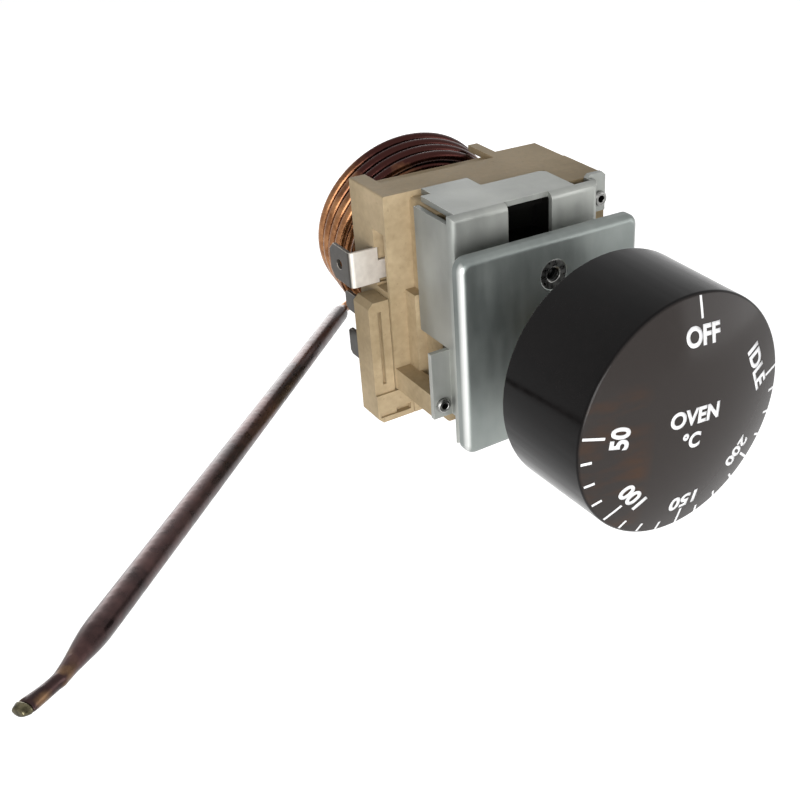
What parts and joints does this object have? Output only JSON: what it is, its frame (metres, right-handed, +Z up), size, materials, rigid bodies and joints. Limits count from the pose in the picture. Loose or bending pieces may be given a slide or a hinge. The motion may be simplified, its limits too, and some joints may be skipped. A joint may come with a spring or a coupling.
{
  "type": "oven thermostat",
  "caption": "Capillary oven thermostat: round dial knob, folded steel mounting plate and bracket, moulded switch base, coiled copper tube and a long thin sensing bulb.",
  "frame": {"origin": "centre of the two panel screw holes, where the spindle axis meets the mounting plate's front face", "axes": "+X to the right seen from the front, +Y to the rear along the spindle, +Z up"},
  "size_m": [0.1483, 0.1197, 0.056],
  "materials": {
    "black_plastic": "gloss",
    "spring_steel": "satin",
    "turned_brass": "satin",
    "zinc_plate": "satin",
    "plain_steel": "satin",
    "beige_moulding": "matte",
    "steatite": "matte",
    "capsule_steel": "satin",
    "contact_bronze": "satin",
    "contact_silver": "satin",
    "terminal_steel": "satin",
    "capillary_copper": "satin",
    "bulb_copper": "satin",
    "solder": "satin"
  },
  "bodies": {
    "housing": {"mounting_plate": "zinc_plate", "plate_spacers": "plain_steel", "bracket": "zinc_plate", "spindle_bush": "turned_brass", "stop_pin": "plain_steel", "body_rivets": "plain_steel", "base_front": "beige_moulding", "base_rear": "beige_moulding", "pin_guide": "steatite", "line_terminal": "terminal_steel", "signal_terminal": "terminal_steel", "common_terminal": "terminal_steel", "fixed_contact": "contact_silver", "calibration_screw": "turned_brass", "capillary": "capillary_copper", "sensor_bulb": "bulb_copper", "bulb_seal": "solder"},
    "dial": {"knob": "black_plastic", "knob_clip": "spring_steel", "spindle": "turned_brass", "spindle_ring": "spring_steel", "stop_disc": "zinc_plate"},
    "adjuster": {"adjusting_nut": "turned_brass", "diaphragm_capsule": "capsule_steel"},
    "plunger": {"push_pin": "steatite"},
    "switch_arm": {"contact_arm": "contact_bronze", "moving_contact": "contact_silver"}
  },
  "joints": [
    {"name": "knob_turn", "type": "hinge", "parent": "housing", "child": "dial", "pos_m": [0, 0, 0], "axis": [0, 1, 0], "range_deg": [0, 281]},
    {"name": "nut_feed", "type": "slide", "parent": "housing", "child": "adjuster", "axis": [0, 1, 0], "range_m": [-0.000587, 0]},
    {"name": "pin_slide", "type": "slide", "parent": "housing", "child": "plunger", "axis": [0, 1, 0], "range_m": [-0.000402, 0]},
    {"name": "contact_swing", "type": "hinge", "parent": "housing", "child": "switch_arm", "pos_m": [0, 0.036, -0.01265], "axis": [1, 0, 0], "range_deg": [0, 1.82]}
  ],
  "couplings": [
    {"joint": "nut_feed", "follows": "knob_turn", "m_per_rad": -0.00011937},
    {"joint": "pin_slide", "follows": "knob_turn", "m_per_rad": -0.00008156},
    {"joint": "contact_swing", "follows": "knob_turn", "ratio": 0.0064453}
  ]
}
